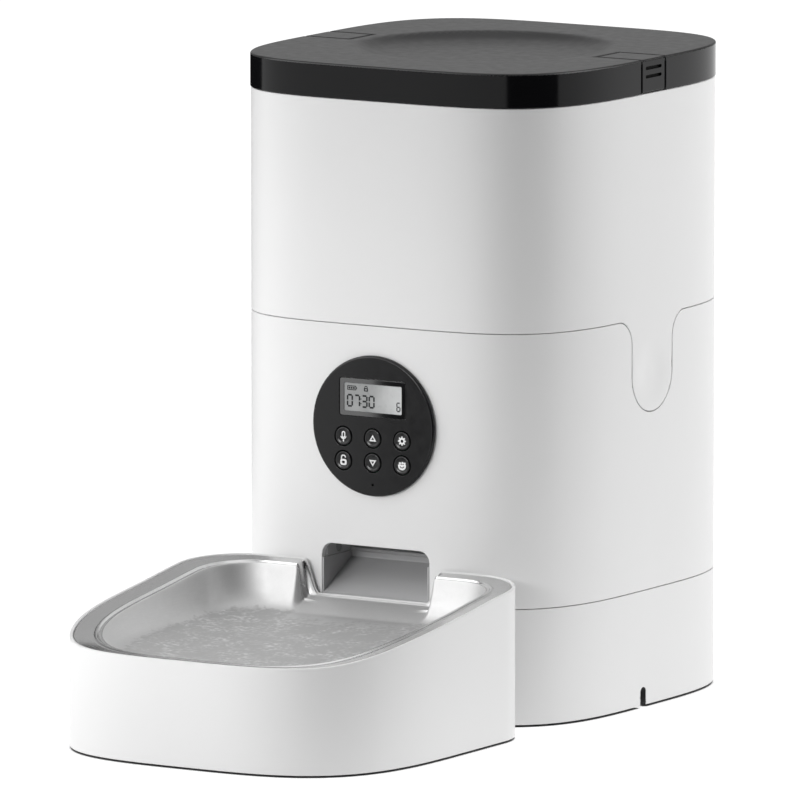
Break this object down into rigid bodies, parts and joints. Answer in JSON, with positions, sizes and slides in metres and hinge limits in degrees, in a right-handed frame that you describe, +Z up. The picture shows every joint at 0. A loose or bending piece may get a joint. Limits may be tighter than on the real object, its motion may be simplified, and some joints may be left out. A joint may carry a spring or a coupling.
{
  "type": "automatic pet feeder",
  "caption": "Tower-shaped automatic dry food feeder with a lift-off lidded tank, a metering rotor, a round control panel, a chute and a steel bowl in a plastic tray in front.",
  "frame": {"origin": "centre of the overall box at floor level, where the feet stand", "axes": "+Z up, front and bowl towards -Y, depth along Y, width along X"},
  "size_m": [0.1876, 0.3684, 0.31],
  "materials": {
    "white_plastic": "satin moulded white",
    "inner_plastic": "plain moulded off-white",
    "black_plastic": "black moulding, gloss sides and fine matt top",
    "grey_plastic": "matt grey moulding",
    "display_glass": "clear window",
    "display_panel": "grey liquid crystal panel",
    "stainless_steel": "satin stainless steel",
    "rubber_black": "matt rubber",
    "silicone": "translucent grey silicone",
    "gear_plastic": "natural acetal",
    "brass": "bright brass",
    "circuit_board": "green solder mask",
    "battery_cell": "dark plain sleeve"
  },
  "bodies": {
    "base": {"base_shell": "white_plastic", "lower_shell": "white_plastic", "bottom_plate": "inner_plastic", "battery_box": "inner_plastic", "battery_cell_1": "battery_cell", "battery_cell_2": "battery_cell", "battery_cell_3": "battery_cell", "battery_contact_back": "brass", "battery_contact_front": "brass", "case_screw_1": "stainless_steel", "case_screw_2": "stainless_steel", "case_screw_3": "stainless_steel", "case_screw_4": "stainless_steel", "chute_hood": "grey_plastic", "chute_ramp": "grey_plastic", "control_board": "circuit_board", "dc_jack": "grey_plastic", "display_module": "display_panel", "display_window": "display_glass", "drive_deck": "inner_plastic", "drive_motor": "stainless_steel", "foot_1": "rubber_black", "foot_2": "rubber_black", "foot_3": "rubber_black", "foot_4": "rubber_black", "gearbox_cover": "grey_plastic", "gearbox_housing": "grey_plastic", "ir_emitter": "black_plastic", "ir_receiver": "black_plastic", "main_board": "circuit_board", "panel_bezel": "black_plastic", "speaker": "grey_plastic"},
    "battery_door": {"battery_door": "inner_plastic"},
    "drive": {"output_gear": "gear_plastic", "drive_coupling": "gear_plastic"},
    "pinion": {"motor_pinion": "brass"},
    "tank": {"tank_shell": "white_plastic", "rotor_housing": "inner_plastic", "outlet_baffle": "inner_plastic"},
    "rotor": {"rotor_wheel": "silicone", "agitator": "silicone", "rotor_screw": "stainless_steel"},
    "release_right": {"tank_release_right": "white_plastic"},
    "release_left": {"tank_release_left": "white_plastic"},
    "lid": {"lid_cover": "black_plastic", "lid_liner": "inner_plastic", "lid_seal": "silicone"},
    "desiccant": {"desiccant_cover": "inner_plastic"},
    "latch_right": {"lid_latch_right": "black_plastic"},
    "latch_left": {"lid_latch_left": "black_plastic"},
    "tray": {"bowl_tray": "white_plastic", "tray_base": "inner_plastic"},
    "bowl": {"bowl": "stainless_steel"},
    "button_record": {"button_record": "black_plastic"},
    "button_up": {"button_up": "black_plastic"},
    "button_settings": {"button_settings": "black_plastic"},
    "button_lock": {"button_lock": "black_plastic"},
    "button_down": {"button_down": "black_plastic"},
    "button_feed": {"button_feed": "black_plastic"}
  },
  "joints": [
    {"name": "tank_lift", "type": "slide", "parent": "base", "child": "tank", "axis": [0, 0, 1], "range_m": [0, 0.1]},
    {"name": "lid_lift", "type": "slide", "parent": "tank", "child": "lid", "axis": [0, 0, 1], "range_m": [0, 0.05]},
    {"name": "desiccant_pull", "type": "slide", "parent": "lid", "child": "desiccant", "axis": [0, 0, -1], "range_m": [0, 0.015]},
    {"name": "latch_right_press", "type": "hinge", "parent": "lid", "child": "latch_right", "pos_m": [0.086, 0.08515, 0.304], "axis": [0, 1, 0], "range_deg": [0, 3.5], "stiffness_Nm_per_rad": 0.3},
    {"name": "latch_left_press", "type": "hinge", "parent": "lid", "child": "latch_left", "pos_m": [-0.086, 0.08515, 0.304], "axis": [0, -1, 0], "range_deg": [0, 3.5], "stiffness_Nm_per_rad": 0.3},
    {"name": "release_right_press", "type": "hinge", "parent": "tank", "child": "release_right", "pos_m": [0.0915, 0.08515, 0.1848], "axis": [0, 1, 0], "range_deg": [0, 3], "stiffness_Nm_per_rad": 1},
    {"name": "release_left_press", "type": "hinge", "parent": "tank", "child": "release_left", "pos_m": [-0.0915, 0.08515, 0.1848], "axis": [0, -1, 0], "range_deg": [0, 3], "stiffness_Nm_per_rad": 1},
    {"name": "output_spin", "type": "hinge", "parent": "base", "child": "drive", "pos_m": [0, 0.07716, 0.09], "axis": [0, 0, 1], "continuous": true},
    {"name": "pinion_spin", "type": "hinge", "parent": "base", "child": "pinion", "pos_m": [0, 0.11216, 0.09], "axis": [0, 0, 1], "continuous": true},
    {"name": "rotor_spin", "type": "hinge", "parent": "tank", "child": "rotor", "pos_m": [0, 0.07716, 0.12], "axis": [0, 0, 1], "continuous": true},
    {"name": "battery_door_slide", "type": "slide", "parent": "base", "child": "battery_door", "axis": [0, 1, 0], "range_m": [0, 0.014]},
    {"name": "tray_pull", "type": "slide", "parent": "base", "child": "tray", "axis": [0, -1, 0], "range_m": [0, 0.05]},
    {"name": "bowl_lift", "type": "slide", "parent": "tray", "child": "bowl", "axis": [0, 0, 1], "range_m": [0, 0.045]},
    {"name": "record_press", "type": "slide", "parent": "base", "child": "button_record", "axis": [0, 1, 0], "range_m": [0, 0.0008], "stiffness_N_per_m": 800},
    {"name": "up_press", "type": "slide", "parent": "base", "child": "button_up", "axis": [0, 1, 0], "range_m": [0, 0.0008], "stiffness_N_per_m": 800},
    {"name": "settings_press", "type": "slide", "parent": "base", "child": "button_settings", "axis": [0, 1, 0], "range_m": [0, 0.0008], "stiffness_N_per_m": 800},
    {"name": "lock_press", "type": "slide", "parent": "base", "child": "button_lock", "axis": [0, 1, 0], "range_m": [0, 0.0008], "stiffness_N_per_m": 800},
    {"name": "down_press", "type": "slide", "parent": "base", "child": "button_down", "axis": [0, 1, 0], "range_m": [0, 0.0008], "stiffness_N_per_m": 800},
    {"name": "feed_press", "type": "slide", "parent": "base", "child": "button_feed", "axis": [0, 1, 0], "range_m": [0, 0.0008], "stiffness_N_per_m": 800}
  ],
  "couplings": [
    {"joint": "pinion_spin", "follows": "output_spin", "ratio": -3},
    {"joint": "rotor_spin", "follows": "output_spin", "ratio": 1}
  ]
}
